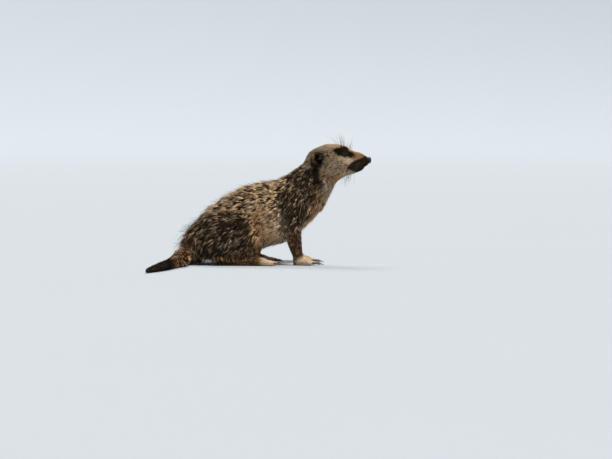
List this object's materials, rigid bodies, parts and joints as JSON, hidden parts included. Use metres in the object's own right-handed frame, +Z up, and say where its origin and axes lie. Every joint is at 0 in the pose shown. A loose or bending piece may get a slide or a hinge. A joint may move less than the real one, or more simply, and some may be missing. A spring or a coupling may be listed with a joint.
{
  "type": "meerkat model",
  "caption": "Life-size still model of a meerkat crouched on its haunches, forelegs straight and head raised, resting on its feet, rump and tail.",
  "frame": {"origin": "on the floor below the middle of the whole model's box", "axes": "+X ahead, where the animal faces; +Y its left; +Z up"},
  "size_m": [0.2636, 0.2182, 0.1435],
  "materials": {
    "coat": "matte grizzled brown fur, dark and cream banded hairs with faint darker bars over the back",
    "pale_coat": "short pale cream-buff fur of the feet",
    "dark_coat": "short black-brown fur of the ears and the tail's end",
    "horn": "dark, slightly glossy claw horn",
    "eye": "wet, near-black brown eye",
    "nose_leather": "moist black pebbled nose skin"
  },
  "bodies": {
    "root": {"ear_left": "dark_coat", "ear_right": "dark_coat", "eye_left": "eye", "eye_right": "eye", "fore_claw_left_1": "horn", "fore_claw_left_2": "horn", "fore_claw_left_3": "horn", "fore_claw_left_4": "horn", "fore_claw_right_1": "horn", "fore_claw_right_2": "horn", "fore_claw_right_3": "horn", "fore_claw_right_4": "horn", "forearm_left": "coat", "forearm_right": "coat", "forefoot_left": "pale_coat", "forefoot_right": "pale_coat", "head": "coat", "hind_claw_left_1": "horn", "hind_claw_left_2": "horn", "hind_claw_left_3": "horn", "hind_claw_left_4": "horn", "hind_claw_right_1": "horn", "hind_claw_right_2": "horn", "hind_claw_right_3": "horn", "hind_claw_right_4": "horn", "hindfoot_left": "pale_coat", "hindfoot_right": "pale_coat", "neck": "coat", "nose": "nose_leather", "shank_left": "coat", "shank_right": "coat", "tail_base": "coat", "tail_middle": "coat", "tail_tip": "dark_coat", "thigh_left": "coat", "thigh_right": "coat", "trunk": "coat", "upper_arm_left": "coat", "upper_arm_right": "coat"}
  },
  "joints": []
}
